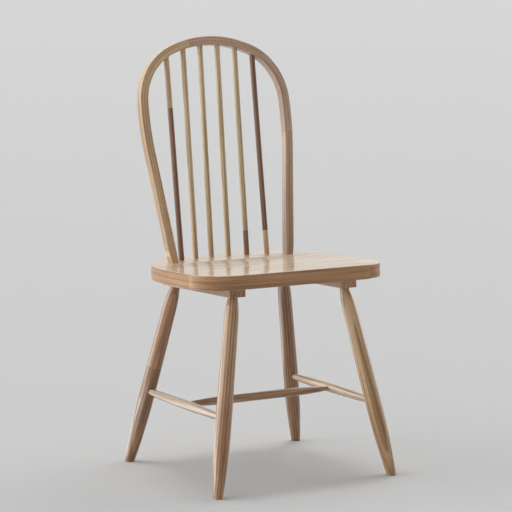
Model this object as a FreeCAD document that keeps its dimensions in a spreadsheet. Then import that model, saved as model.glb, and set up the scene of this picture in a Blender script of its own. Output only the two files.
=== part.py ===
import FreeCAD, Part
import math
import os
import Sketcher
from FreeCAD import Placement, Rotation, Vector

# Driving sizes in millimetres, with angles in degrees.
# X runs to the chair's right as seen from in front, Y to the rear, Z up from the floor.
driving = {
    # The seat: a slab that slopes down to the rear, with the origin below its middle
    "seat_front": 192.8,
    "seat_height": 450.0,
    "seat_slope_angle": 2.0,
    "seat_width": 448.0,
    "seat_depth": 398.0,
    "seat_thickness": 30.0,
    "seat_waist_width": 444.0,
    "seat_waist_y": 251.0,
    "seat_rear_width": 282.0,
    "front_corner_radius": 78.0,
    "side_curve_radius": 250.0,
    "rear_corner_radius": 70.0,
    "seat_top_round": 2.0,
    "seat_bottom_round": 1.5,
    # The scoop in the seat's top, which ends at a crease in front of the spindles
    "scoop_front_inset": 48.0,
    "scoop_rear_inset": 120.0,
    "scoop_rear_run": 16.0,
    "scoop_deepest_y": 210.0,
    "scoop_shallow_y": 122.0,
    "scoop_depth": 6.0,
    "scoop_rear_slope_depth": 3.4,
    "scoop_shallow_depth": 3.6,
    "scoop_width": 372.0,
    "scoop_front_width": 300.0,
    "scoop_clearance": 1.0,
    # Two battens under the seat, which carry the legs
    "batten_side_inset": 90.0,
    "batten_front_inset": 37.0,
    "batten_rear_inset": 71.0,
    "batten_width": 38.0,
    "batten_thickness": 20.0,
    "batten_round": 1.5,
    # Four turned legs
    "leg_inset": 20.0,
    "foot_side_inset": 13.5,
    "front_foot_overhang": 16.5,
    "rear_foot_inset": 21.0,
    "leg_foot_diameter": 20.0,
    "leg_belly_diameter": 33.4,
    "leg_belly_low": 145.0,
    "leg_belly_high": 190.0,
    "leg_shaft_diameter": 30.2,
    "leg_neck_length": 50.0,
    "leg_neck_curve": 245.0,
    "leg_neck_end": 3.5,
    "leg_tenon_diameter": 20.4,
    "leg_tenon_in_seat": 10.0,
    # Stretchers
    "stretcher_height": 157.0,
    "side_stretcher_diameter": 20.0,
    "side_tenon_diameter": 14.4,
    "side_tenon_length": 17.0,
    "cross_stretcher_diameter": 18.0,
    "cross_straight_length": 150.0,
    "cross_tenon_diameter": 9.8,
    "cross_tenon_length": 10.0,
    # The bent hoop of the back, square in section
    "hoop_rear_inset": 99.5,
    "hoop_lean_angle": 12.46,
    "hoop_width": 19.0,
    "hoop_thickness": 20.0,
    "hoop_edge_round": 2.5,
    "hoop_foot_spacing": 285.0,
    "hoop_splay_angle": 6.8,
    "hoop_limb_length": 234.0,
    "hoop_side_radius": 700.0,
    "hoop_side_turn_angle": 9.2,
    "hoop_shoulder_radius": 127.0,
    "hoop_crown_radius": 250.0,
    "hoop_foot_taper": 3.0,
    "hoop_foot_taper_length": 26.0,
    "hoop_tenon_diameter": 12.0,
    "hoop_tenon_in_seat": 15.0,
    # Six spindles, whose feet stand on an arc
    "spindle_spacing": 42.5,
    "spindle_diameter": 12.0,
    "spindle_rear_inset": 47.0,
    "spindle_arc_radius": 262.0,
    "spindle_in_seat": 18.0,
    "spindle_in_hoop": 12.0,
    # Countersunk screws through the battens
    "screw_end_distance": 56.0,
    "screw_length": 36.0,
    "screw_diameter": 4.0,
    "screw_head_diameter": 8.0,
    "screw_recess_width": 1.1,
    "screw_recess_length": 4.6,
    "screw_recess_depth": 1.6,
    # The chamfer of a tenon's end, and the gap round it, which the glue fills
    "tenon_chamfer": 1.0,
    "glue_gap": 0.1,
}

spindle_count = 6
screws_in_batten = 3
# How far a blank or a cutting tool runs past the face that trims it
overrun = 8.0
z_axis = Vector(0, 0, 1)

doc = FreeCAD.newDocument("windsor_chair")
sheet = doc.addObject("Spreadsheet::Sheet", "sizes")


def put_cells(sizes, column):
    """Write each size to the sheet as a plain number, with its name beside it."""
    for row, (name, number) in enumerate(sizes.items(), start=1):
        sheet.set(chr(ord(column) - 1) + str(row), name)
        sheet.set(column + str(row), repr(float(number)))
        sheet.setAlias(column + str(row), name)


put_cells(driving, "B")
doc.recompute()


def size(name):
    return driving[name]


def value(expression):
    return float(sheet.evalExpression(expression))


# Frames: the seat's own frame lies in its sloping top at the middle of the front edge
seat_frame = Placement(
    Vector(0, -size("seat_front"), size("seat_height")),
    Rotation(Vector(1, 0, 0), -size("seat_slope_angle")),
)


def on_seat(x, y, z):
    return seat_frame.multVec(Vector(x, y, z))


# The back's frame stands on the seat's top between the hoop's feet and leans with the hoop
back_frame = Placement(
    on_seat(0, size("seat_depth") - size("hoop_rear_inset"), 0),
    Rotation(Vector(1, 0, 0), -size("hoop_lean_angle")),
)


def along(start, end, before=0.0):
    """A frame at start, moved back by a length, whose Z axis points to end."""
    direction = (end - start).normalize()
    return Placement(start - direction * before, Rotation(z_axis, direction))


# The hoop's centre line, from the right foot up to the crown, in the back's X and Z
def point_at(centre, radius, angle):
    return centre + Vector(math.cos(angle), 0, -math.sin(angle)) * radius


splay = math.radians(size("hoop_splay_angle"))
side_end = splay - math.radians(size("hoop_side_turn_angle"))
hoop_foot = Vector(size("hoop_foot_spacing") / 2, 0, 0)
limb_direction = Vector(math.sin(splay), 0, math.cos(splay))
limb_top = hoop_foot + limb_direction * size("hoop_limb_length")
side_centre = point_at(limb_top, -size("hoop_side_radius"), splay)
side_top = point_at(side_centre, size("hoop_side_radius"), side_end)
shoulder_centre = point_at(side_top, -size("hoop_shoulder_radius"), side_end)
radius_step = size("hoop_crown_radius") - size("hoop_shoulder_radius")
crown_half_angle = math.asin(shoulder_centre.x / radius_step)
crown_centre = shoulder_centre - Vector(shoulder_centre.x, 0, radius_step * math.cos(crown_half_angle))
crown_start = point_at(crown_centre, size("hoop_crown_radius"), crown_half_angle - math.pi / 2)


def hoop_height(x):
    """The height of the hoop's centre line above the seat, along its lean, at a distance x."""
    if abs(x) < crown_start.x:
        return crown_centre.z + math.sqrt(size("hoop_crown_radius") ** 2 - x ** 2)
    reach = abs(x) - shoulder_centre.x
    return shoulder_centre.z + math.sqrt(size("hoop_shoulder_radius") ** 2 - reach ** 2)


# Leg axes, from the foot on the floor to the underside of the batten
batten_underside = -size("seat_thickness") - size("batten_thickness")
batten_x = size("seat_width") / 2 - size("batten_side_inset")
batten_rear = size("seat_depth") - size("batten_rear_inset")


def leg_ends(side, front):
    if front:
        foot_y = -size("front_foot_overhang")
        top_y = size("batten_front_inset") + size("leg_inset")
    else:
        foot_y = size("seat_depth") - size("rear_foot_inset")
        top_y = batten_rear - size("leg_inset")
    foot_x = size("seat_width") / 2 - size("foot_side_inset")
    foot = Vector(side * foot_x, foot_y - size("seat_front"), 0)
    return foot, on_seat(side * batten_x, top_y, batten_underside)


def leg_point(side, front, height):
    """The point of a leg's axis at a height above the floor."""
    foot, top = leg_ends(side, front)
    return foot + (top - foot) * (height / top.z)


# Spindle axes, from the seat's top to the end of the socket in the hoop
def spindle_ends(index):
    x = (index - (spindle_count - 1) / 2) * size("spindle_spacing")
    sag = size("spindle_arc_radius") - math.sqrt(size("spindle_arc_radius") ** 2 - x ** 2)
    foot = on_seat(x, size("seat_depth") - size("spindle_rear_inset") - sag, 0)
    socket_end = hoop_height(x) - size("hoop_width") / 2 + size("spindle_in_hoop")
    return foot, back_frame.multVec(Vector(x, 0, socket_end))


# Lengths that follow from the driving sizes go to the sheet too
side_names = {-1: "left", 1: "right"}
row_names = {True: "front", False: "rear"}
worked_out = {}
for front, row_name in row_names.items():
    foot, top = leg_ends(1, front)
    worked_out["leg_axis_" + row_name] = (top - foot).Length
front_joint = leg_point(1, True, size("stretcher_height"))
rear_joint = leg_point(1, False, size("stretcher_height"))
worked_out["side_stretcher_half"] = (rear_joint - front_joint).Length / 2
worked_out["cross_stretcher_half"] = (front_joint.x + rear_joint.x) / 2
for index in range(spindle_count):
    foot, top = spindle_ends(index)
    worked_out["spindle_axis_" + str(index + 1)] = (top - foot).Length
crown_top = crown_centre + Vector(0, 0, size("hoop_crown_radius"))
bow_start = hoop_foot - limb_direction * overrun
bow_points = {
    "bow_start": bow_start,
    "limb_top": limb_top,
    "side_top": side_top,
    "crown_start": crown_start,
    "crown_top": crown_top,
}
for name, point in bow_points.items():
    worked_out[name + "_x"] = point.x
    worked_out[name + "_z"] = point.z
put_cells(worked_out, "E")
doc.recompute()


# Sketch and feature helpers
def new_sketch(body, name, plane="XY_Plane", offset=None):
    sketch = body.newObject("Sketcher::SketchObject", name)
    base = [item for item in body.Origin.OriginFeatures if item.Role == plane][0]
    sketch.AttachmentSupport = [(base, "")]
    sketch.MapMode = "FlatFace"
    if offset is not None:
        sketch.AttachmentOffset = offset
    return sketch


def bound(sketch, constraint, expression):
    """Add a constraint whose value follows an expression of the sheet's cells."""
    number = sketch.addConstraint(constraint)
    sketch.setExpression("Constraints[%d]" % number, expression)


def arc_between(start, end, radius):
    """The arc that turns left from start to end."""
    chord = end - start
    left = Vector(-chord.y, chord.x, 0).normalize()
    centre = (start + end) / 2 + left * math.sqrt(radius ** 2 - (chord.Length / 2) ** 2)
    begin = math.atan2(start.y - centre.y, start.x - centre.x)
    finish = math.atan2(end.y - centre.y, end.x - centre.x)
    return Part.ArcOfCircle(Part.Circle(centre, z_axis, radius), begin, finish)


def draw_outline(sketch, corners, closed=True):
    """Draw an outline, anticlockwise. A corner is an X and a Y expression, and a third one
    is the radius of the arc that leads to it."""
    points = [Vector(value(corner[0]), value(corner[1]), 0) for corner in corners]
    count = len(corners) if closed else len(corners) - 1
    for index in range(count):
        after = (index + 1) % len(corners)
        if len(corners[after]) == 3:
            radius = corners[after][2]
            sketch.addGeometry(arc_between(points[index], points[after], value(radius)))
            bound(sketch, Sketcher.Constraint("Radius", index, value(radius)), radius)
        else:
            sketch.addGeometry(Part.LineSegment(points[index], points[after]))
    for index, corner in enumerate(corners):
        if closed or 0 < index < count:
            before = (index - 1) % count
            sketch.addConstraint(Sketcher.Constraint("Coincident", before, 2, index % count, 1))
        # The last point of an open outline is the end of its last line or arc
        owner, place = (index, 1) if index < count else (index - 1, 2)
        for kind, expression, number in (
            ("DistanceX", corner[0], points[index].x),
            ("DistanceY", corner[1], points[index].y),
        ):
            bound(sketch, Sketcher.Constraint(kind, -1, 1, owner, place, number), expression)


def turned_body(name, corners):
    """A piece turned about its own Z axis from a half outline."""
    body = doc.addObject("PartDesign::Body", name)
    profile = new_sketch(body, name + "_profile", "XZ_Plane")
    draw_outline(profile, corners)
    turning = body.newObject("PartDesign::Revolution", name + "_turning")
    turning.Profile = profile
    turning.ReferenceAxis = (profile, ["V_Axis"])
    turning.Angle = 360.0
    body.Tip = turning
    return body


def cylinder(name, frame, radius, height):
    piece = doc.addObject("Part::Cylinder", name)
    piece.setExpression("Radius", radius)
    piece.setExpression("Height", height)
    piece.Placement = frame
    return piece


def box(name, frame, length, width, height):
    piece = doc.addObject("Part::Box", name)
    piece.setExpression("Length", length)
    piece.setExpression("Width", width)
    piece.setExpression("Height", height)
    piece.Placement = frame
    return piece


def group(name, pieces):
    compound = doc.addObject("Part::Compound", name)
    compound.Links = pieces
    return compound


def cut(name, base, tools):
    result = doc.addObject("Part::Cut", name)
    result.Base = base
    result.Tool = tools[0] if len(tools) == 1 else group(name + "_tools", tools)
    return result


def edge_names(shape, chosen):
    return ["Edge%d" % (number + 1) for number, edge in enumerate(shape.Edges) if chosen(edge)]


def add_fillet(body, name, radius, chosen):
    base = body.Tip
    fillet = body.newObject("PartDesign::Fillet", name)
    fillet.Base = (base, edge_names(base.Shape, chosen))
    fillet.setExpression("Radius", radius)
    body.Tip = fillet
    doc.recompute()


# Sockets are cut by cylinders that share the axis of what they hold
def leg_socket(name, side, front):
    foot, top = leg_ends(side, front)
    depth = "(sizes.batten_thickness + sizes.leg_tenon_in_seat) / cos(sizes.seat_slope_angle)"
    frame = along(top, top + (top - foot), overrun)
    radius = "sizes.leg_tenon_diameter / 2 + sizes.glue_gap"
    return cylinder(name, frame, radius, "%s + %g" % (depth, overrun))


def screw_frames():
    frames = []
    first = size("batten_front_inset") + size("screw_end_distance")
    run = batten_rear - size("screw_end_distance") - first
    for side in side_names:
        for index in range(screws_in_batten):
            y = first + run * index / (screws_in_batten - 1)
            place = on_seat(side * batten_x, y, batten_underside)
            frames.append((side, Placement(place, seat_frame.Rotation)))
    return frames


def screw_holes(name, wanted_side=None):
    tools = []
    for number, (side, frame) in enumerate(screw_frames(), start=1):
        if wanted_side not in (None, side):
            continue
        shank = "sizes.screw_diameter / 2 + sizes.glue_gap"
        depth = "sizes.screw_length + sizes.glue_gap"
        tools.append(cylinder("%s_%d" % (name, number), frame, shank, depth))
        sink = doc.addObject("Part::Cone", "%s_sink_%d" % (name, number))
        sink.setExpression("Radius1", "sizes.screw_head_diameter / 2 + sizes.glue_gap")
        sink.setExpression("Radius2", "sizes.screw_diameter / 2 + sizes.glue_gap")
        sink.setExpression("Height", "(sizes.screw_head_diameter - sizes.screw_diameter) / 2")
        sink.Placement = frame
        tools.append(sink)
    return tools


# Seat
def build_seat():
    body = doc.addObject("PartDesign::Body", "seat_blank")
    outline = new_sketch(body, "seat_outline")
    right = [
        ("sizes.seat_width / 2", "0"),
        ("sizes.seat_waist_width / 2", "sizes.seat_waist_y"),
        ("sizes.seat_rear_width / 2", "sizes.seat_depth"),
    ]
    left = [("-" + x, y) for x, y in reversed(right)]
    draw_outline(outline, right + left)
    slab = body.newObject("PartDesign::Pad", "seat_slab")
    slab.Profile = outline
    slab.setExpression("Length", "sizes.seat_thickness")
    slab.Reversed = True
    body.Tip = slab
    doc.recompute()
    for (x, y), radius in zip(right, ("front_corner_radius", "side_curve_radius", "rear_corner_radius")):
        corner = (value(x), value(y))

        def upright_at_corner(edge):
            ends = [vertex.Point for vertex in edge.Vertexes]
            upright = len(ends) == 2 and abs(ends[0].z - ends[1].z) > size("seat_thickness") / 2
            return upright and abs(abs(ends[0].x) - corner[0]) < 0.01 and abs(ends[0].y - corner[1]) < 0.01

        add_fillet(body, "seat_" + radius, "sizes." + radius, upright_at_corner)

    # The scoop runs through sections across the seat, shallow in front and steep at the crease.
    # Each is an arc that starts and ends above the seat's top. The first and last stay above it.
    loft = body.newObject("PartDesign::SubtractiveLoft", "seat_scoop")
    clearance = "sizes.scoop_clearance"
    crease = "(sizes.seat_depth - sizes.scoop_rear_inset)"
    stations = [
        (crease, "sizes.scoop_width", "-%s / 2" % clearance),
        ("(%s - sizes.scoop_rear_run)" % crease, "sizes.scoop_width", "sizes.scoop_rear_slope_depth"),
        ("sizes.scoop_deepest_y", "sizes.scoop_width", "sizes.scoop_depth"),
        ("sizes.scoop_shallow_y", "sizes.scoop_front_width", "sizes.scoop_shallow_depth"),
        ("sizes.scoop_front_inset", "sizes.scoop_front_width", "-%s / 2" % clearance),
    ]
    sections = []
    for number, (y, width, depth) in enumerate(stations, start=1):
        offset = Placement(Vector(0, 0, -value(y)), Rotation())
        section = new_sketch(body, "scoop_section_%d" % number, "XZ_Plane", offset)
        section.setExpression("AttachmentOffset.Base.z", "-" + y)
        sag = "(%s + %s)" % (clearance, depth)
        radius = "((%s / 2) ^ 2 + %s ^ 2) / 2 / %s" % (width, sag, sag)
        draw_outline(section, [
            ("-%s / 2" % width, clearance),
            (width + " / 2", clearance, radius),
        ])
        sections.append(section)
    loft.Profile = sections[0]
    loft.Sections = sections[1:]
    body.Tip = loft
    doc.recompute()

    def level(edge, z):
        return max(abs(vertex.Z - z) for vertex in edge.Vertexes) < 0.01

    def on_rim(edge):
        middle = edge.valueAt((edge.FirstParameter + edge.LastParameter) / 2)
        return any(face.distToShape(Part.Vertex(middle))[0] < 0.01 for face in rim_faces)

    for name, z in (("top", 0), ("bottom", -size("seat_thickness"))):
        rim_faces = [face for face in body.Tip.Shape.Faces if abs(face.normalAt(0, 0).z) < 0.01]
        radius = "sizes.seat_%s_round" % name
        add_fillet(body, "seat_%s_edge" % name, radius, lambda edge: level(edge, z) and on_rim(edge))
    body.Placement = seat_frame

    tools = []
    for side, side_name in side_names.items():
        for front, row_name in row_names.items():
            tools.append(leg_socket("seat_socket_%s_%s" % (row_name, side_name), side, front))
        tools.append(hoop_tenon("seat_socket_hoop_" + side_name, side, "sizes.glue_gap"))
    for index in range(spindle_count):
        foot, top = spindle_ends(index)
        frame = along(foot, foot * 2 - top, overrun)
        radius = "sizes.spindle_diameter / 2 + sizes.glue_gap"
        depth = "sizes.spindle_in_seat + sizes.glue_gap + %g" % overrun
        tools.append(cylinder("seat_socket_spindle_%d" % (index + 1), frame, radius, depth))
    tools += screw_holes("seat_pilot")
    return cut("seat", body, tools)


# Battens
def build_batten(side):
    """A bar whose lower and upright edges are eased, on the seat's underside."""
    name = "batten_" + side_names[side]
    body = doc.addObject("PartDesign::Body", name + "_blank")
    outline = new_sketch(body, name + "_outline")
    half = "sizes.batten_width / 2"
    length = "(sizes.seat_depth - sizes.batten_front_inset - sizes.batten_rear_inset)"
    draw_outline(outline, [("-" + half, "0"), (half, "0"), (half, length), ("-" + half, length)])
    bar = body.newObject("PartDesign::Pad", name + "_bar")
    bar.Profile = outline
    bar.setExpression("Length", "sizes.batten_thickness")
    body.Tip = bar
    doc.recompute()

    def free_edge(edge):
        return min(vertex.Z for vertex in edge.Vertexes) < 0.01

    add_fillet(body, name + "_eased", "sizes.batten_round", free_edge)
    front_end = on_seat(side * batten_x, size("batten_front_inset"), batten_underside)
    body.Placement = Placement(front_end, seat_frame.Rotation)
    tools = screw_holes(name + "_hole", side)
    for front, row_name in row_names.items():
        tools.append(leg_socket("%s_socket_%s" % (name, row_name), side, front))
    return cut(name, body, tools)


# Legs
def build_leg(side, front):
    name = "leg_%s_%s" % (row_names[front], side_names[side])
    axis = "sizes.leg_axis_" + row_names[front]
    top = axis + " + (sizes.batten_thickness + sizes.leg_tenon_in_seat) / cos(sizes.seat_slope_angle)"
    spread = "(sizes.leg_belly_diameter - sizes.leg_foot_diameter) / 2"
    foot_curve = "(sizes.leg_belly_low ^ 2 + (%s) ^ 2) / 2 / (%s)" % (spread, spread)
    tenon = "sizes.leg_tenon_diameter / 2"
    neck_end = axis + " - sizes.leg_neck_end"
    corners = [
        ("0", "%g" % -overrun),
        ("sizes.leg_foot_diameter / 2", "%g" % -overrun),
        ("sizes.leg_foot_diameter / 2", "0"),
        ("sizes.leg_belly_diameter / 2", "sizes.leg_belly_low", foot_curve),
        ("sizes.leg_belly_diameter / 2", "sizes.leg_belly_high"),
        ("sizes.leg_shaft_diameter / 2", axis + " - sizes.leg_neck_length"),
        (tenon, neck_end, "sizes.leg_neck_curve"),
        (tenon, top + " - sizes.tenon_chamfer"),
        (tenon + " - sizes.tenon_chamfer", top),
        ("0", top),
    ]
    body = turned_body(name + "_turned", corners)
    foot, leg_top = leg_ends(side, front)
    body.Placement = along(foot, leg_top)
    # The foot is trimmed level by a block below the floor
    belly = size("leg_belly_diameter")
    side_length = "sizes.leg_belly_diameter * 2"
    corner = Placement(foot - Vector(belly, belly, belly * 2), Rotation())
    floor = box(name + "_floor", corner, side_length, side_length, side_length)
    start = leg_point(side, front, size("stretcher_height"))
    end = leg_point(side, not front, size("stretcher_height"))
    socket = cylinder(
        name + "_socket",
        along(start, end, size("glue_gap")),
        "sizes.side_tenon_diameter / 2 + sizes.glue_gap",
        "sizes.leg_belly_diameter",
    )
    return cut(name, body, [floor, socket])


# Stretchers
def build_side_stretcher(side):
    name = "stretcher_" + side_names[side]
    half = "sizes.side_stretcher_half"
    thick = "sizes.side_stretcher_diameter / 2"
    thin = "sizes.side_tenon_diameter / 2"
    shoulder = "(%s - sizes.side_tenon_length)" % half
    drop = "(sizes.side_stretcher_diameter - sizes.side_tenon_diameter) / 2"
    curve = "(%s ^ 2 + (%s) ^ 2) / 2 / (%s)" % (shoulder, drop, drop)
    corners = [
        ("0", "-" + half),
        (thin + " - sizes.tenon_chamfer", "-" + half),
        (thin, "-%s + sizes.tenon_chamfer" % half),
        (thin, "-" + shoulder),
        (thick, "0", curve),
        (thin, shoulder, curve),
        (thin, half + " - sizes.tenon_chamfer"),
        (thin + " - sizes.tenon_chamfer", half),
        ("0", half),
    ]
    body = turned_body(name + "_turned", corners)
    front_end = leg_point(side, True, size("stretcher_height"))
    rear_end = leg_point(side, False, size("stretcher_height"))
    middle = (front_end + rear_end) / 2
    body.Placement = along(middle, rear_end)
    across = Vector(-side, 0, 0)
    socket = cylinder(
        name + "_socket",
        along(middle, middle + across, size("glue_gap")),
        "sizes.cross_tenon_diameter / 2 + sizes.glue_gap",
        "sizes.side_stretcher_diameter",
    )
    return cut(name, body, [socket])


def build_cross_stretcher():
    half = "sizes.cross_stretcher_half"
    straight = "sizes.cross_straight_length / 2"
    thick = "sizes.cross_stretcher_diameter / 2"
    thin = "sizes.cross_tenon_diameter / 2"
    shoulder = "(%s - sizes.cross_tenon_length)" % half
    drop = "(sizes.cross_stretcher_diameter - sizes.cross_tenon_diameter) / 2"
    run = "(%s - %s)" % (shoulder, straight)
    curve = "(%s ^ 2 + (%s) ^ 2) / 2 / (%s)" % (run, drop, drop)
    corners = [
        ("0", "-" + half),
        (thin + " - sizes.tenon_chamfer", "-" + half),
        (thin, "-%s + sizes.tenon_chamfer" % half),
        (thin, "-" + shoulder),
        (thick, "-" + straight, curve),
        (thick, straight),
        (thin, shoulder, curve),
        (thin, half + " - sizes.tenon_chamfer"),
        (thin + " - sizes.tenon_chamfer", half),
        ("0", half),
    ]
    body = turned_body("stretcher_cross", corners)
    ends = [leg_point(1, front, size("stretcher_height")) for front in row_names]
    middle = (ends[0] + ends[1]) / 2
    body.Placement = along(Vector(0, middle.y, middle.z), middle)
    return body


# Hoop
def hoop_tenon(name, side, gap="0"):
    """A cylinder on the axis of one limb, from inside the limb down into the seat."""
    foot = back_frame.multVec(Vector(side * hoop_foot.x, 0, 0))
    below = back_frame.multVec(Vector(side * (hoop_foot.x - limb_direction.x), 0, -limb_direction.z))
    radius = "sizes.hoop_tenon_diameter / 2 + " + gap
    length = "sizes.hoop_tenon_in_seat + %g + %s" % (overrun, gap)
    return cylinder(name, along(foot, below, overrun), radius, length)


def build_bow():
    """Half of the bow is a pipe along the centre line, and the other half mirrors it."""
    body = doc.addObject("PartDesign::Body", "hoop_bow")
    path = new_sketch(body, "hoop_centre_line", "XZ_Plane")
    radii = {
        "side_top": "sizes.hoop_side_radius",
        "crown_start": "sizes.hoop_shoulder_radius",
        "crown_top": "sizes.hoop_crown_radius",
    }
    corners = []
    for name in bow_points:
        corner = ("sizes.%s_x" % name, "sizes.%s_z" % name)
        corners.append(corner + (radii[name],) if name in radii else corner)
    draw_outline(path, corners, closed=False)

    across = "sizes.hoop_width / 2"
    deep = "sizes.hoop_thickness / 2"
    easing = "sizes.hoop_edge_round"
    flat_across = "(%s - %s)" % (across, easing)
    flat_deep = "(%s - %s)" % (deep, easing)
    frame = Placement(bow_start, Rotation(Vector(0, 1, 0), size("hoop_splay_angle")))
    section = new_sketch(body, "hoop_section", "XY_Plane", frame)
    draw_outline(section, [
        (across, "-" + flat_deep, easing),
        (across, flat_deep),
        (flat_across, deep, easing),
        ("-" + flat_across, deep),
        ("-" + across, flat_deep, easing),
        ("-" + across, "-" + flat_deep),
        ("-" + flat_across, "-" + deep, easing),
        (flat_across, "-" + deep),
    ])
    pipe = body.newObject("PartDesign::AdditivePipe", "hoop_half")
    pipe.Profile = section
    pipe.Spine = path
    body.Tip = pipe
    doc.recompute()
    mirrored = body.newObject("PartDesign::Mirrored", "hoop_other_half")
    mirrored.Originals = [pipe]
    plane = [item for item in body.Origin.OriginFeatures if item.Role == "YZ_Plane"][0]
    mirrored.MirrorPlane = (plane, [""])
    body.Tip = mirrored
    body.Placement = back_frame
    return body


def foot_taper(side):
    """The block whose inner face thins the outer side of a limb just above the seat."""
    outward = Vector(side * limb_direction.z, 0, -limb_direction.x)
    limb = Vector(side * limb_direction.x, 0, limb_direction.z)
    foot = Vector(side * hoop_foot.x, 0, 0)
    start = foot + limb * size("hoop_foot_taper_length") + outward * (size("hoop_width") / 2)
    end = foot + outward * (size("hoop_width") / 2 - size("hoop_foot_taper"))
    downward = (end - start).normalize()
    sideways = downward.cross(outward).normalize()
    corner = start - sideways * size("hoop_thickness")
    frame = Placement(corner, Rotation(outward, sideways, downward, "ZXY"))
    return box(
        "hoop_taper_" + side_names[side],
        back_frame.multiply(frame),
        "sizes.hoop_width",
        "sizes.hoop_thickness * 2",
        "sizes.hoop_foot_taper_length + %g" % (overrun * 2),
    )


def below_seat_top(name):
    """A block that fills the space below the plane of the seat's top."""
    corner = on_seat(-size("seat_width") / 2, 0, -size("seat_thickness"))
    return box(
        name,
        Placement(corner, seat_frame.Rotation),
        "sizes.seat_width",
        "sizes.seat_depth * 2",
        "sizes.seat_thickness",
    )


def build_hoop():
    tools = [below_seat_top("hoop_deck")] + [foot_taper(side) for side in side_names]
    for index in range(spindle_count):
        foot, top = spindle_ends(index)
        radius = "sizes.spindle_diameter / 2 + sizes.glue_gap"
        depth = "sizes.spindle_in_hoop + %g" % overrun
        frame = along(top, foot, size("glue_gap"))
        tools.append(cylinder("hoop_socket_%d" % (index + 1), frame, radius, depth))
    trimmed = cut("hoop_trimmed", build_bow(), tools)
    hoop = doc.addObject("Part::MultiFuse", "hoop")
    hoop.Shapes = [trimmed] + [hoop_tenon("hoop_tenon_" + name, side) for side, name in side_names.items()]
    return hoop


# Spindles
def build_spindle(index):
    name = "spindle_%d" % (index + 1)
    foot, top = spindle_ends(index)
    total = "(sizes.spindle_axis_%d + sizes.spindle_in_seat)" % (index + 1)
    radius = "sizes.spindle_diameter / 2"
    body = turned_body(name, [
        ("0", "0"),
        (radius + " - sizes.tenon_chamfer", "0"),
        (radius, "sizes.tenon_chamfer"),
        (radius, total + " - sizes.tenon_chamfer"),
        (radius + " - sizes.tenon_chamfer", total),
        ("0", total),
    ])
    body.Placement = along(foot, top, size("spindle_in_seat"))
    return body


# Screws
def build_screws():
    tip = "sizes.screw_diameter"
    blank = turned_body("screw_blank", [
        ("0", "0"),
        ("sizes.screw_head_diameter / 2", "0"),
        ("sizes.screw_diameter / 2", "(sizes.screw_head_diameter - sizes.screw_diameter) / 2"),
        ("sizes.screw_diameter / 2", "sizes.screw_length - " + tip),
        ("0", "sizes.screw_length"),
    ])
    slots = []
    long_side = size("screw_recess_length") / 2
    short_side = size("screw_recess_width") / 2
    for number, turn in enumerate((0, 90), start=1):
        frame = Placement(Vector(), Rotation(z_axis, turn))
        frame = frame.multiply(Placement(Vector(-long_side, -short_side, 0), Rotation()))
        slots.append(box(
            "screw_slot_%d" % number,
            frame,
            "sizes.screw_recess_length",
            "sizes.screw_recess_width",
            "sizes.screw_recess_depth",
        ))
    recess = doc.addObject("Part::MultiFuse", "screw_recess")
    recess.Shapes = slots
    screw = cut("screw", blank, [recess])
    links = []
    for number, (side, frame) in enumerate(screw_frames(), start=1):
        link = doc.addObject("App::Link", "screw_%d" % number)
        link.LinkedObject = screw
        link.Placement = frame
        links.append(link)
    return group("batten_screws", links)


def build_chair():
    pieces = {"seat": build_seat()}
    for side, side_name in side_names.items():
        pieces["batten_" + side_name] = build_batten(side)
        for front, row_name in row_names.items():
            pieces["leg_%s_%s" % (row_name, side_name)] = build_leg(side, front)
        pieces["stretcher_" + side_name] = build_side_stretcher(side)
    pieces["batten_screws"] = build_screws()
    pieces["stretcher_cross"] = build_cross_stretcher()
    pieces["hoop"] = build_hoop()
    for index in range(spindle_count):
        pieces["spindle_%d" % (index + 1)] = build_spindle(index)
    return pieces


def check(pieces):
    """Stop before anything is written if a feature failed or a piece isn't a sound solid."""
    for item in doc.Objects:
        if "Invalid" in item.State or "Error" in item.State:
            raise RuntimeError("%s failed: %s" % (item.Label, item.State))
    for name, piece in pieces.items():
        shape = piece.Shape
        if shape.isNull() or not shape.isValid() or not shape.Solids:
            raise RuntimeError("%s isn't a sound solid" % name)
        if piece.Label != name:
            raise RuntimeError("%s is labelled %s" % (name, piece.Label))


pieces = build_chair()
doc.recompute()
check(pieces)
os.makedirs("parts", exist_ok=True)
for name, piece in pieces.items():
    piece.Shape.exportStep("parts/%s.step" % name)
    bounds = piece.Shape.optimalBoundingBox()
    print("%-18s %d solids %10.0f mm3  x %.1f %.1f  y %.1f %.1f  z %.1f %.1f" % (
        name, len(piece.Shape.Solids), piece.Shape.Volume,
        bounds.XMin, bounds.XMax, bounds.YMin, bounds.YMax, bounds.ZMin, bounds.ZMax,
    ))
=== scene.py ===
import bpy
import math
import numpy as np
from mathutils import Matrix, Vector


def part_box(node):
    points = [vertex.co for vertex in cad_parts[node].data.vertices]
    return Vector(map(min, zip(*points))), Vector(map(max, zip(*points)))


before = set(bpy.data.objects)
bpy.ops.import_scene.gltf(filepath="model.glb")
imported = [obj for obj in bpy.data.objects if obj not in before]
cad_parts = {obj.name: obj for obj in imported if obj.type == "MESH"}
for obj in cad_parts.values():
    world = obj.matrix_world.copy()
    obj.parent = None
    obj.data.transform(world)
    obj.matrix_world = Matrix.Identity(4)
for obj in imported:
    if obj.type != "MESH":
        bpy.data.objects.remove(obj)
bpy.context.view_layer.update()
print("frame loaded:", len(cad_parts), "pieces")


# Small helpers for shader trees

def colour(red, green, blue):  # screen values of 0 to 255 as a linear colour
    levels = [value / 255 for value in (red, green, blue)]
    return tuple(v / 12.92 if v <= 0.04045 else ((v + 0.055) / 1.055) ** 2.4 for v in levels) + (1.0,)


def addNode(tree, kind, **settings):
    node = tree.nodes.new("ShaderNode" + kind)
    for name, value in settings.items():
        setattr(node, name, value)
    return node


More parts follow.
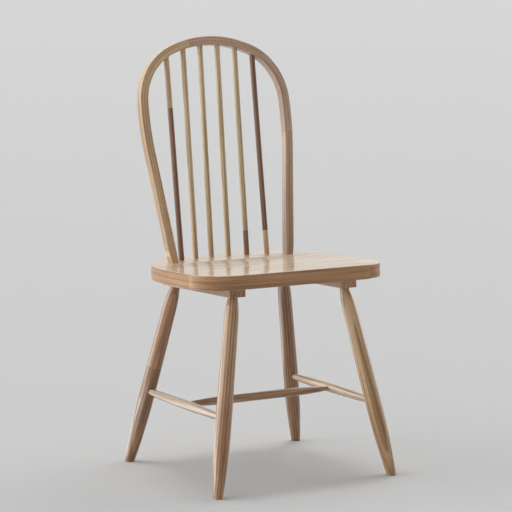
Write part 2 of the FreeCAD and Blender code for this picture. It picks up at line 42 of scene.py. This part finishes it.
def feed(tree, socket, source):  # a socket takes a link, a number or a vector
    if isinstance(source, bpy.types.NodeSocket):
        tree.links.new(source, socket)
    else:
        socket.default_value = source


def maths(tree, operation, *sources):
    node = addNode(tree, "Math", operation=operation)
    for socket, source in zip(node.inputs, sources):
        feed(tree, socket, source)
    return node.outputs[0]


def vectorMaths(tree, operation, *sources):
    node = addNode(tree, "VectorMath", operation=operation)
    for socket, source in zip(node.inputs, sources):
        feed(tree, socket, source)
    return node.outputs["Value" if operation in ("DOT_PRODUCT", "LENGTH") else "Vector"]


def split(tree, vector):
    node = addNode(tree, "SeparateXYZ")
    tree.links.new(vector, node.inputs[0])
    return node.outputs


def join(tree, *sources):
    node = addNode(tree, "CombineXYZ")
    for socket, source in zip(node.inputs, sources):
        feed(tree, socket, source)
    return node.outputs[0]


def mixColour(tree, factor, first, second, blend="MIX"):
    node = addNode(tree, "Mix", data_type="RGBA", blend_type=blend)
    for number, source in ((0, factor), (6, first), (7, second)):
        feed(tree, node.inputs[number], source)
    return node.outputs[2]


def pick(tree, switch, low, high):  # low where the switch is 0 and high where it is 1
    node = addNode(tree, "Mix", data_type="FLOAT")
    for number, source in ((0, switch), (2, low), (3, high)):
        feed(tree, node.inputs[number], source)
    return node.outputs[0]


def ramp(tree, source, low, high, first=0.0, last=1.0):
    node = addNode(tree, "MapRange", interpolation_type="SMOOTHSTEP")
    for socket, value in zip(node.inputs, (source, low, high, first, last)):
        feed(tree, socket, value)
    return node.outputs[0]


def noise(tree, place, scale, detail=2.0, roughness=0.5):
    node = addNode(tree, "TexNoise", noise_dimensions="3D")
    tree.links.new(vectorMaths(tree, "MULTIPLY", place, scale), node.inputs["Vector"])
    for name, value in (("Scale", 1.0), ("Detail", detail), ("Roughness", roughness)):
        node.inputs[name].default_value = value
    return node.outputs[0]


def socketKind(value):
    if not isinstance(value, tuple):
        return "Float"
    return "Vector" if len(value) == 3 else "Color"


def newGroup(name, inputs, outputs):
    group = bpy.data.node_groups.new(name, "ShaderNodeTree")
    for title, value in inputs.items():
        kind = "NodeSocket" + socketKind(value)
        group.interface.new_socket(title, in_out="INPUT", socket_type=kind).default_value = value
    for title, kind in outputs.items():
        group.interface.new_socket(title, in_out="OUTPUT", socket_type="NodeSocket" + kind)
    return group, group.nodes.new("NodeGroupInput").outputs, group.nodes.new("NodeGroupOutput").inputs


def useGroup(tree, group, **sources):  # an input named Ring Spacing is given as ringSpacing
    node = addNode(tree, "Group", node_tree=group)
    for socket in node.inputs:
        key = socket.name[0].lower() + socket.name[1:].replace(" ", "")
        if key in sources:
            feed(tree, socket, sources[key])
    return node.outputs


# Wood grain: the place's Z runs along the fibres, in metres
grainScales = {  # noise cells in each metre, across and along the fibres
    "sway": (9, 9, 2.2), "slow": (28, 28, 2.5), "drift": (3, 3, 4.5),
    "streaks": (330, 330, 5.5), "fibres": (1500, 1500, 18), "pores": (1150, 1150, 70),
}
grainSettings = {
    "wander": 0.014, "seedStep": 3.71, "coneSlope": 0.03,
    "ringRise": (0.1, 0.82), "ringFall": (1.0, 0.86), "poreEdge": (0.6, 0.7), "driftEdge": (0.35, 0.65),
    "slowShare": 1.0, "streakShare": 1.3, "fibreShare": 0.45, "fibreHeight": 0.35, "ringHeight": 0.25,
}


def makeGrain():
    group, given, out = newGroup(
        "woodGrain",
        {
            "Place": (0.0, 0.0, 0.0), "Seed": 0.0, "Ring Spacing": 0.006, "Ring Strength": 0.3,
            "Streak Strength": 0.5, "Pore Strength": 0.5, "Pith X": 0.09, "Pith Y": 0.05,
        },
        {"Tone": "Float", "Drift": "Float", "Pores": "Float", "Height": "Float"},
    )
    seedShift = maths(group, "MULTIPLY", given["Seed"], grainSettings["seedStep"])
    place = vectorMaths(group, "ADD", given["Place"], join(group, seedShift, seedShift, seedShift))

    # Rings about a pith that lies beside the piece, bent by a slow wander
    sway = maths(group, "SUBTRACT", noise(group, place, grainScales["sway"]), 0.5)
    sway = maths(group, "MULTIPLY", sway, grainSettings["wander"])
    fromPith = vectorMaths(group, "ADD", given["Place"], join(group, given["Pith X"], given["Pith Y"], 0))
    fromPith = vectorMaths(group, "MULTIPLY", fromPith, (1, 1, grainSettings["coneSlope"]))
    radius = maths(group, "ADD", vectorMaths(group, "LENGTH", fromPith), sway)
    turn = maths(group, "ADD", maths(group, "DIVIDE", radius, given["Ring Spacing"]), seedShift)
    phase = maths(group, "FRACT", turn)
    rise = ramp(group, phase, *grainSettings["ringRise"])
    rings = maths(group, "MULTIPLY", rise, ramp(group, phase, *grainSettings["ringFall"]))

    fibres = noise(group, place, grainScales["fibres"])
    pores = ramp(group, noise(group, place, grainScales["pores"], detail=1), *grainSettings["poreEdge"])
    pores = maths(group, "MULTIPLY", pores, given["Pore Strength"])
    drift = ramp(group, noise(group, place, grainScales["drift"], detail=1), *grainSettings["driftEdge"])
    tone = maths(group, "MULTIPLY", maths(group, "SUBTRACT", rings, 0.5), given["Ring Strength"])
    slow = noise(group, place, grainScales["slow"])
    streaks = noise(group, place, grainScales["streaks"], detail=3, roughness=0.6)
    for part, share in ((slow, "slowShare"), (streaks, "streakShare"), (fibres, "fibreShare")):
        swing = maths(group, "MULTIPLY", maths(group, "SUBTRACT", part, 0.5), grainSettings[share])
        tone = maths(group, "MULTIPLY_ADD", swing, given["Streak Strength"], tone)
    height = maths(group, "MULTIPLY", rings, grainSettings["ringHeight"])
    height = maths(group, "MULTIPLY_ADD", fibres, grainSettings["fibreHeight"], height)
    group.links.new(maths(group, "ADD", tone, 0.5), out["Tone"])
    group.links.new(drift, out["Drift"])
    group.links.new(pores, out["Pores"])
    group.links.new(maths(group, "SUBTRACT", height, pores), out["Height"])
    return group


# Lengths of wood glued end to end: each has a tone, and a fine line marks each joint
def makeLengths():
    numbers = (1, 2, 3)
    beyond, anyTone = 9.0, (0.3, 0.2, 0.1, 1.0)  # a joint that isn't given lies past the end of a piece
    joints = {"Joint %d" % number: beyond for number in numbers}
    tones = {"Tone %d" % number: anyTone for number in (*numbers, len(numbers) + 1)}
    group, given, out = newGroup(
        "gluedLengths",
        {"Along": 0.0, "Line Width": 0.0005, **joints, **tones},
        {"Color": "Color", "Line": "Float", "Seed": "Float"},
    )
    mixed, line, seed = given["Tone 1"], 0.0, 0.0
    for number in numbers:
        past = maths(group, "GREATER_THAN", given["Along"], given["Joint %d" % number])
        mixed = mixColour(group, past, mixed, given["Tone %d" % (number + 1)])
        gap = maths(group, "ABSOLUTE", maths(group, "SUBTRACT", given["Along"], given["Joint %d" % number]))
        line = maths(group, "MAXIMUM", line, maths(group, "LESS_THAN", gap, given["Line Width"]))
        seed = maths(group, "ADD", seed, past)
    for name, source in (("Color", mixed), ("Line", line), ("Seed", seed)):
        group.links.new(source, out[name])
    return group


# A panel of strips glued side by side, each of lengths that meet in finger joints
def nearSeam(tree, share, unit, lineWidth):
    part = maths(tree, "FRACT", share)
    edge = maths(tree, "MINIMUM", part, maths(tree, "SUBTRACT", 1.0, part))
    return maths(tree, "LESS_THAN", maths(tree, "MULTIPLY", edge, unit), lineWidth)


def makePanel():
    group, given, out = newGroup(
        "gluedPanel",
        {
            "Place": (0.0, 0.0, 0.0), "Strip Width": 0.07, "First Seam": 0.0, "Length": 0.4,
            "First Joint": 0.17, "Finger": 0.008, "Finger Pitch": 0.005, "Line Width": 0.0004,
            "Stagger": 0.618,
        },
        {"Shade": "Float", "Line": "Float", "Seed": "Float"},
    )
    place = split(group, given["Place"])
    across = maths(group, "SUBTRACT", place[0], given["First Seam"])
    across = maths(group, "DIVIDE", across, given["Strip Width"])
    strip = maths(group, "FLOOR", across)
    teeth = maths(group, "PINGPONG", place[0], given["Finger Pitch"])
    reach = maths(group, "DIVIDE", maths(group, "MULTIPLY", teeth, given["Finger"]), given["Finger Pitch"])
    along = maths(group, "SUBTRACT", maths(group, "ADD", place[2], reach), given["First Joint"])
    start = maths(group, "FRACT", maths(group, "MULTIPLY", strip, given["Stagger"]))
    along = maths(group, "SUBTRACT", maths(group, "DIVIDE", along, given["Length"]), start)
    piece = maths(group, "FLOOR", along)
    white = addNode(group, "TexWhiteNoise", noise_dimensions="2D")
    group.links.new(join(group, strip, piece), white.inputs["Vector"])
    sides = nearSeam(group, across, given["Strip Width"], given["Line Width"])
    ends = nearSeam(group, along, given["Length"], given["Line Width"])
    group.links.new(white.outputs["Value"], out["Shade"])
    group.links.new(maths(group, "MAXIMUM", sides, ends), out["Line"])
    group.links.new(maths(group, "ADD", strip, piece), out["Seed"])
    return group


# The lacquer: soft unevenness in the shine
sheenCloud = {"scale": (22, 22, 22), "detail": 3, "roughness": 0.55}


def makeLacquer():
    group, given, out = newGroup(
        "lacquerSheen",
        {"Place": (0.0, 0.0, 0.0), "Base Roughness": 0.4, "Unevenness": 0.1},
        {"Roughness": "Float"},
    )
    cloud = maths(group, "SUBTRACT", noise(group, given["Place"], **sheenCloud), 0.5)
    swing = maths(group, "MULTIPLY_ADD", cloud, given["Unevenness"], given["Base Roughness"])
    group.links.new(swing, out["Roughness"])
    return group


grainGroup = makeGrain()
lengthsGroup = makeLengths()
panelGroup = makePanel()
lacquerGroup = makeLacquer()
print("shader groups made")


# Woods, as seen in flat light; the seat's two face tones also carry painted sheen
woods = {
    "tan": colour(208, 178, 140),
    "olive": colour(204, 183, 145),
    "brown": colour(168, 126, 90),
    "deepBrown": colour(136, 95, 66),
    "red": colour(158, 114, 84),
    "dark": colour(134, 98, 80),
    "cream": colour(190, 168, 140),
    "honey": colour(184, 147, 106),
    "rose": colour(204, 172, 150),
    "dun": colour(206, 178, 158),
    "greyBrown": colour(200, 174, 152),
    "umber": colour(150, 112, 79),
    "chestnut": colour(158, 116, 80),
    "wheat": colour(174, 152, 126),
    "ash": colour(194, 170, 144),
    "paleAsh": colour(200, 180, 156),
    "amber": colour(176, 134, 96),
    "hazel": colour(172, 136, 104),
}

lacquer = {
    "roughness": 0.42, "unevenness": 0.12, "specular": 0.3, "coatRoughness": 0.06, "ior": 1.5,
    "grainDepth": 0.00006, "poreTone": colour(84, 58, 42), "lineTone": colour(110, 70, 50),
    "lineStrength": 0.5, "toneRange": (0.1, 0.9),
    "darkGrain": (0.62, 0.54, 0.47, 1.0), "lightGrain": (1.18, 1.2, 1.22, 1.0),
}


def longAxis(name):  # the middle of each end of a long straight piece
    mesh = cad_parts[name].data
    points = np.empty(len(mesh.vertices) * 3)
    mesh.vertices.foreach_get("co", points)
    points = points.reshape(-1, 3)
    direction = np.linalg.svd(points - points.mean(0), full_matrices=False)[2][0]
    endShare = 0.02
    for sweep in range(3):  # the middles of the two ends give a truer axis each time
        reach = points @ direction
        span = np.ptp(reach) * endShare
        ends = points[reach < reach.min() + span], points[reach > reach.max() - span]
        middles = [(part.min(0) + part.max(0)) / 2 for part in ends]
        direction = (middles[1] - middles[0]) / np.linalg.norm(middles[1] - middles[0])
    if direction[np.argmax(np.ptp(points, axis=0))] < 0:
        middles.reverse()
    return Vector(middles[0]), Vector(middles[1])


def turnedPlace(tree, start, turn):  # the object's own place, measured from a start in turned axes
    where = addNode(tree, "TexCoord")
    mapping = addNode(tree, "Mapping", vector_type="TEXTURE")
    mapping.inputs["Location"].default_value = start
    mapping.inputs["Rotation"].default_value = turn
    tree.links.new(where.outputs["Object"], mapping.inputs["Vector"])
    return mapping.outputs[0]


def sortLengths(tree, look, place):  # one tone, or up to four lengths with the joints between them
    tones = {"tone%d" % (number + 1): tone for number, tone in enumerate(look["tones"])}
    joints = {"joint%d" % (number + 1): joint for number, joint in enumerate(look["joints"])}
    sort = useGroup(tree, lengthsGroup, along=split(tree, place)[2], **tones, **joints)
    return sort["Color"], sort["Line"], sort["Seed"]


def onEdge(tree):  # 1 where the surface is upright
    mostUpright = 0.6
    normal = split(tree, addNode(tree, "NewGeometry").outputs["Normal"])
    return maths(tree, "LESS_THAN", maths(tree, "ABSOLUTE", normal[2]), mostUpright)


def sortPanel(tree, look, place):
    sort = useGroup(tree, panelGroup, place=place, **look["panel"])
    # faces that are not upright get the look's tones; on the seat these hold painted sheen as well as the
    # wood's own tone
    sheenPaintedFaces = mixColour(tree, sort["Shade"], *look["tones"])
    edges = mixColour(tree, sort["Shade"], *look["edgeTones"])
    return mixColour(tree, onEdge(tree), sheenPaintedFaces, edges), sort["Line"], sort["Seed"]


def lacqueredWood(look, place, material):
    tree = material.node_tree
    shader = tree.nodes["Principled BSDF"]
    sort = sortPanel if look["panel"] else sortLengths
    base, line, lengthSeed = sort(tree, look, place)
    grain = useGroup(
        tree, grainGroup, place=place, seed=maths(tree, "ADD", lengthSeed, look["seed"]),
        ringSpacing=look["ringSpacing"], ringStrength=look["rings"], streakStrength=look["streaks"],
        poreStrength=look["pores"], pithX=look["pith"][0], pithY=look["pith"][1],
    )
    base = mixColour(tree, maths(tree, "MULTIPLY", grain["Drift"], look["driftShare"]), base, look["drift"])
    dark = mixColour(tree, 1.0, base, lacquer["darkGrain"], "MULTIPLY")
    light = mixColour(tree, 1.0, base, lacquer["lightGrain"], "MULTIPLY")
    shade = mixColour(tree, ramp(tree, grain["Tone"], *lacquer["toneRange"]), dark, light)
    shade = mixColour(tree, grain["Pores"], shade, lacquer["poreTone"])
    line = maths(tree, "MULTIPLY", line, lacquer["lineStrength"])
    shade = mixColour(tree, line, shade, lacquer["lineTone"])
    tree.links.new(shade, shader.inputs["Base Color"])

    given = {"baseRoughness": lacquer["roughness"], "unevenness": lacquer["unevenness"]}
    shine = useGroup(tree, lacquerGroup, place=place, **given)
    tree.links.new(shine["Roughness"], shader.inputs["Roughness"])
    shader.inputs["IOR"].default_value = lacquer["ior"]
    shader.inputs["Specular IOR Level"].default_value = lacquer["specular"]
    coat = pick(tree, onEdge(tree), look["coat"], look["edgeCoat"]) if look["panel"] else look["coat"]
    feed(tree, shader.inputs["Coat Weight"], coat)
    shader.inputs["Coat Roughness"].default_value = lacquer["coatRoughness"]
    bump = addNode(tree, "Bump")
    bump.inputs["Distance"].default_value = lacquer["grainDepth"]
    tree.links.new(grain["Height"], bump.inputs["Height"])
    tree.links.new(bump.outputs[0], shader.inputs["Normal"])


# What every wooden piece starts from, and what a piece changes
plainLook = {
    "joints": (), "panel": None, "seed": 0.0, "ringSpacing": 0.006, "rings": 0.3, "streaks": 0.9,
    "pores": 0.3, "pith": (0.11, 0.04), "drift": woods["brown"], "driftShare": 0.4, "coat": 1.0,
}


def newMaterial(name):
    material = bpy.data.materials.new(name)
    material.use_nodes = True
    return material


def putOn(name, material):  # on every slot of a CAD node
    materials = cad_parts[name].data.materials
    materials.clear()
    materials.append(material)


def dress(name, place=None, **changes):
    material = newMaterial(name + "Wood")
    if place is None:
        start, end = longAxis(name)
        where = turnedPlace(material.node_tree, start, (end - start).to_track_quat("Z", "Y").to_euler())
    else:
        where = place(material.node_tree)
    lacqueredWood({**plainLook, **changes}, where, material)
    putOn(name, material)


# Seat: strips that run from side to side, with the edge's grain running round the edge. Faces that are not
# upright take paler tones than the upright edge: partly the wood's own paler tone, partly painted sheen
# standing in for the bright room reflected in the top
seatBoards = {
    # the face tones: the wood's own paler tone with painted sheen
    "tones": (woods["ash"], woods["paleAsh"]), "edgeTones": (woods["honey"], woods["amber"]),
    "panel": {
        "stripWidth": 0.082, "firstSeam": -0.012, "length": 0.72, "firstJoint": 0.176,
        "finger": 0.009, "fingerPitch": 0.0045,
    },
    "ringSpacing": 0.011, "rings": 0.14, "seed": 2.0, "pith": (0.02, 0.09), "driftShare": 0.15,
    "coat": 0.6, "edgeCoat": 0.2,
}
seatSlope = math.radians(2)


def seatPlace(tree):  # X runs to the rear along the seat's slope, Y up, Z from side to side
    rear = Vector((0, math.cos(seatSlope), -math.sin(seatSlope)))
    across = Vector((1, 0, 0))
    turn = Matrix((rear, across.cross(rear), across)).transposed().to_euler()
    start = Vector((0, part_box("seat")[0].y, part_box("seat")[1].z))
    top = turnedPlace(tree, start, turn)
    depth, height, side = split(tree, top)
    edge = onEdge(tree)
    aroundEdge = maths(tree, "MULTIPLY_ADD", maths(tree, "SIGN", side), depth, side)
    edgeStrip = 0.03  # one strip of the panel gives the whole edge its tone
    return join(tree, pick(tree, edge, depth, edgeStrip), height, pick(tree, edge, side, aroundEdge))


dress("seat", seatPlace, **seatBoards)

# Battens
battens = {"batten_left": {"seed": 4.0}, "batten_right": {"seed": 5.0}}
for name, look in battens.items():
    dress(name, tones=(woods["brown"],), ringSpacing=0.01, **look)

# Legs, with one joint low in the left rear one
legs = {
    "leg_front_left": {"tones": (woods["brown"],), "seed": 11.0, "drift": woods["tan"]},
    "leg_front_right": {"tones": (woods["honey"],), "seed": 12.4, "drift": woods["tan"], "driftShare": 0.8},
    "leg_rear_left": {"tones": (woods["umber"], woods["chestnut"]), "joints": (0.214,), "seed": 13.1},
    "leg_rear_right": {
        "tones": (woods["umber"],), "seed": 14.6, "drift": woods["deepBrown"], "driftShare": 0.6,
    },
}
for name, look in legs.items():
    dress(name, rings=0.5, streaks=1.1, **look)

# Stretchers
stretchers = {
    "stretcher_left": {"tones": (woods["wheat"],), "seed": 21.0},
    "stretcher_right": {"tones": (woods["cream"],), "seed": 22.5},
    "stretcher_cross": {"tones": (woods["hazel"],), "seed": 23.2, "streaks": 2.2, "rings": 0.6},
}
for name, look in stretchers.items():
    dress(name, ringSpacing=0.005, **look)

# Spindles: the place of a joint is given up from the foot
spindles = {
    1: {"tones": (woods["dark"], woods["tan"]), "joints": (0.345,), "drift": woods["deepBrown"]},
    2: {"tones": (woods["olive"],), "drift": woods["tan"]},
    3: {"tones": (woods["olive"],), "drift": woods["tan"]},
    4: {"tones": (woods["olive"],), "drift": woods["tan"], "driftShare": 0.6},
    5: {"tones": (woods["red"], woods["olive"]), "joints": (0.07,), "driftShare": 0.0},
    6: {"tones": (woods["tan"], woods["dark"]), "joints": (0.07,), "driftShare": 0.0},
}
spindleSeeds = {"first": 30.0, "step": 1.7}
for number, look in spindles.items():
    seed = spindleSeeds["first"] + number * spindleSeeds["step"]
    dress("spindle_%d" % number, seed=seed, ringSpacing=0.004, **look)
print("straight pieces dressed")


# Hoop: the grain follows the bend. Sizes are in the plane that the hoop lies in
hoop = {
    "footY": 0.1055, "footZ": 0.4396, "lean": math.radians(12.46),
    "footX": 0.1425, "splay": math.radians(6.8), "limb": 0.234,
    "sideRadius": 0.7, "sideTurn": math.radians(9.2), "shoulderRadius": 0.127, "crownRadius": 0.25,
}
hoopLook = {
    "tones": (woods["tan"], woods["rose"], woods["dun"], woods["greyBrown"]),
    "joints": (0.538, 0.718, 0.908), "seed": 40.0, "drift": woods["brown"], "driftShare": 0.2,
    "rings": 0.15,
}


def hoopArcs():  # centre, radius, angle of the start and length so far, from the foot up
    splay, end = hoop["splay"], hoop["splay"] - hoop["sideTurn"]
    limbTop = Vector((hoop["footX"], 0)) + Vector((math.sin(splay), math.cos(splay))) * hoop["limb"]
    sideCentre = limbTop - Vector((math.cos(splay), -math.sin(splay))) * hoop["sideRadius"]
    outward = Vector((math.cos(end), -math.sin(end)))
    shoulder = sideCentre + outward * (hoop["sideRadius"] - hoop["shoulderRadius"])
    step = hoop["crownRadius"] - hoop["shoulderRadius"]
    half = math.asin(shoulder.x / step)
    crown = shoulder - Vector((shoulder.x, step * math.cos(half)))
    lengths = [hoop["limb"], hoop["sideRadius"] * hoop["sideTurn"]]
    lengths.append(hoop["shoulderRadius"] * (math.pi / 2 - half + end))
    return [
        (sideCentre, hoop["sideRadius"], -splay, lengths[0]),
        (shoulder, hoop["shoulderRadius"], -end, sum(lengths[:2])),
        (crown, hoop["crownRadius"], math.pi / 2 - half, sum(lengths)),
    ]


def hoopPlace(tree):
    start = (0, hoop["footY"], hoop["footZ"])
    sideways, thick, up = split(tree, turnedPlace(tree, start, (-hoop["lean"], 0, 0)))
    out = maths(tree, "ABSOLUTE", sideways)
    beside = maths(tree, "SUBTRACT", out, hoop["footX"])
    sine, cosine = math.sin(hoop["splay"]), math.cos(hoop["splay"])
    across = maths(tree, "MULTIPLY_ADD", beside, cosine, maths(tree, "MULTIPLY", up, -sine))
    along = maths(tree, "MULTIPLY_ADD", beside, sine, maths(tree, "MULTIPLY", up, cosine))
    for centre, radius, startAngle, lengthSoFar in hoopArcs():
        right = maths(tree, "SUBTRACT", out, centre.x)
        rise = maths(tree, "SUBTRACT", up, centre.y)
        turned = maths(tree, "SUBTRACT", maths(tree, "ARCTAN2", rise, right), startAngle)
        arcAlong = maths(tree, "MULTIPLY_ADD", turned, radius, lengthSoFar)
        distance = vectorMaths(tree, "LENGTH", join(tree, right, rise))
        past = maths(tree, "GREATER_THAN", arcAlong, lengthSoFar)
        across = pick(tree, past, across, maths(tree, "SUBTRACT", distance, radius))
        along = pick(tree, past, along, arcAlong)
    centre, radius, startAngle, lengthSoFar = hoopArcs()[-1]
    half = lengthSoFar + radius * (math.pi / 2 - startAngle)
    toCrown = maths(tree, "SUBTRACT", half, along)
    whole = maths(tree, "MULTIPLY_ADD", maths(tree, "SIGN", sideways), toCrown, half)
    return join(tree, across, thick, whole)


dress("hoop", hoopPlace, **hoopLook)
print("hoop dressed")


# Screws
zinc = {
    "dull": colour(176, 172, 160), "clean": colour(208, 204, 192), "cloudScale": (900, 900, 900),
    "cloudEdge": (0.3, 0.7), "roughness": (0.28, 0.42),
}


def zincSteel():
    material = newMaterial("zincSteel")
    tree = material.node_tree
    shader = tree.nodes["Principled BSDF"]
    cloud = noise(tree, addNode(tree, "TexCoord").outputs["Object"], zinc["cloudScale"])
    shine = ramp(tree, cloud, *zinc["cloudEdge"], *zinc["roughness"])
    tree.links.new(mixColour(tree, cloud, zinc["dull"], zinc["clean"]), shader.inputs["Base Color"])
    tree.links.new(shine, shader.inputs["Roughness"])
    shader.inputs["Metallic"].default_value = 1.0
    return material


putOn("batten_screws", zincSteel())


# Floor: a pale sweep, painted darker near the chair and a little lighter further off: painted shade in
# place of lighting that is brighter further off
floorSettings = {
    "size": 160.0, "cells": 8, "near": 0.48, "far": 0.555, "halfway": 8.0,
    "roughness": 0.9, "specular": 0.0,
}


def paleFloor():
    material = newMaterial("floorGrey")
    tree = material.node_tree
    shader = tree.nodes["Principled BSDF"]
    reach = vectorMaths(tree, "LENGTH", addNode(tree, "TexCoord").outputs["Object"])
    share = maths(tree, "DIVIDE", reach, maths(tree, "ADD", reach, floorSettings["halfway"]))
    # painted shade: the floor's colour grows lighter with distance from the chair
    paintedFalloffTint = pick(tree, share, floorSettings["near"], floorSettings["far"])
    tree.links.new(join(tree, paintedFalloffTint, paintedFalloffTint, paintedFalloffTint), shader.inputs["Base Color"])
    shader.inputs["Roughness"].default_value = floorSettings["roughness"]
    shader.inputs["Specular IOR Level"].default_value = floorSettings["specular"]
    return material


bpy.ops.mesh.primitive_grid_add(
    x_subdivisions=floorSettings["cells"], y_subdivisions=floorSettings["cells"], size=floorSettings["size"]
)
floor = bpy.context.object
floor.name = "floor"
floor.data.materials.append(paleFloor())

# Light: a room that is brighter behind the chair, and four soft panels a long way off
room = {
    "dim": 0.2, "bright": 0.85, "towards": (0.35, 0.9, 0.25), "fade": (-0.6, 0.8), "backdrop": 0.68,
}
softPanels = {  # azimuth from +X, height above the floor, half widths and blur, all in degrees
    "above": {"azimuth": 80, "height": 83, "wide": 10, "tall": 4, "blur": 1.5, "strength": 16.5},
    "left": {"azimuth": 148, "height": 19, "wide": 29, "tall": 20, "blur": 4, "strength": 3.0},
    "leftFront": {"azimuth": 208, "height": 22, "wide": 26, "tall": 24, "blur": 8, "strength": 0.8},
    "right": {"azimuth": 15, "height": 27, "wide": 28, "tall": 26, "blur": 6, "strength": 1.6},
}


def panelMask(tree, direction, panel):  # 1 inside a rectangle on the sky, with soft edges
    azimuth, height = math.radians(panel["azimuth"]), math.radians(panel["height"])
    level = Vector((math.cos(azimuth), math.sin(azimuth), 0))
    facing = level * math.cos(height) + Vector((0, 0, math.sin(height)))
    sideways = Vector((-level.y, level.x, 0))
    mask = maths(tree, "GREATER_THAN", vectorMaths(tree, "DOT_PRODUCT", direction, facing), 0)
    for axis, reach in ((sideways, panel["wide"]), (facing.cross(sideways), panel["tall"])):
        part = vectorMaths(tree, "DOT_PRODUCT", direction, axis)
        depth = vectorMaths(tree, "DOT_PRODUCT", direction, facing)
        angle = maths(tree, "DEGREES", maths(tree, "ARCTAN2", maths(tree, "ABSOLUTE", part), depth))
        edge = ramp(tree, angle, reach + panel["blur"], reach - panel["blur"])
        mask = maths(tree, "MULTIPLY", mask, edge)
    return mask


# Two low cards on the left that only show in the shine, and so leave no patch on the floor
lowCards = {
    "standing": {"azimuth": 150, "near": 2.2, "far": 2.2, "width": 1.8, "rise": 0.13, "strength": 5.5},
    "lying": {"azimuth": 148, "near": 0.35, "far": 1.8, "width": 1.5, "rise": 0.0, "strength": 1.7},
}
cardLift = 0.002  # clear of the floor


def lowCard(name, card):
    depth = math.hypot(card["far"] - card["near"], card["rise"])
    light = bpy.data.lights.new(name, "AREA")
    light.shape = "RECTANGLE"
    light.size, light.size_y = card["width"], depth
    light.energy = card["strength"] * math.pi * card["width"] * depth
    lamp = bpy.data.objects.new(name, light)
    azimuth, tilt = math.radians(card["azimuth"]), math.asin(card["rise"] / depth)
    outward = Vector((math.cos(azimuth), math.sin(azimuth), 0))
    lamp.location = outward * (card["near"] + card["far"]) / 2
    lamp.location.z = cardLift + card["rise"] / 2
    lamp.rotation_euler = (math.pi - tilt, 0, azimuth + math.pi / 2)
    lamp.visible_diffuse = False
    lamp.visible_camera = False
    bpy.context.scene.collection.objects.link(lamp)


for name, card in lowCards.items():
    lowCard(name + "Card", card)

world = bpy.data.worlds.new("softRoom")
bpy.context.scene.world = world
world.use_nodes = True
sky = world.node_tree
direction = addNode(sky, "TexCoord").outputs["Generated"]
facing = vectorMaths(sky, "DOT_PRODUCT", direction, Vector(room["towards"]).normalized())
glow = ramp(sky, facing, *room["fade"], room["dim"], room["bright"])
for panel in softPanels.values():
    glow = maths(sky, "MULTIPLY_ADD", panelMask(sky, direction, panel), panel["strength"], glow)
# Past the floor's far edge the camera sees an even grey
seen = addNode(sky, "LightPath").outputs["Is Camera Ray"]
glow = pick(sky, seen, glow, room["backdrop"])
sky.nodes["Background"].inputs["Color"].default_value = (1, 1, 1, 1)
sky.links.new(glow, sky.nodes["Background"].inputs["Strength"])

# Camera
cameraSettings = {
    "place": (-2.3672, -4.0904, 1.0999), "azimuth": -30.059, "down": 7.75, "focalPixels": 2248.66,
    "sensor": 36.0, "pixels": 512,
}
cameraData = bpy.data.cameras.new("camera")
cameraData.sensor_width = cameraSettings["sensor"]
cameraData.lens = cameraSettings["focalPixels"] * cameraSettings["sensor"] / cameraSettings["pixels"]
camera = bpy.data.objects.new("camera", cameraData)
camera.location = cameraSettings["place"]
tip, turn = math.radians(90 - cameraSettings["down"]), math.radians(cameraSettings["azimuth"])
camera.rotation_euler = (tip, 0, turn)
bpy.context.scene.collection.objects.link(camera)
bpy.context.scene.camera = camera
bpy.context.scene.view_settings.view_transform = "Standard"
print("stage, lights and camera set")
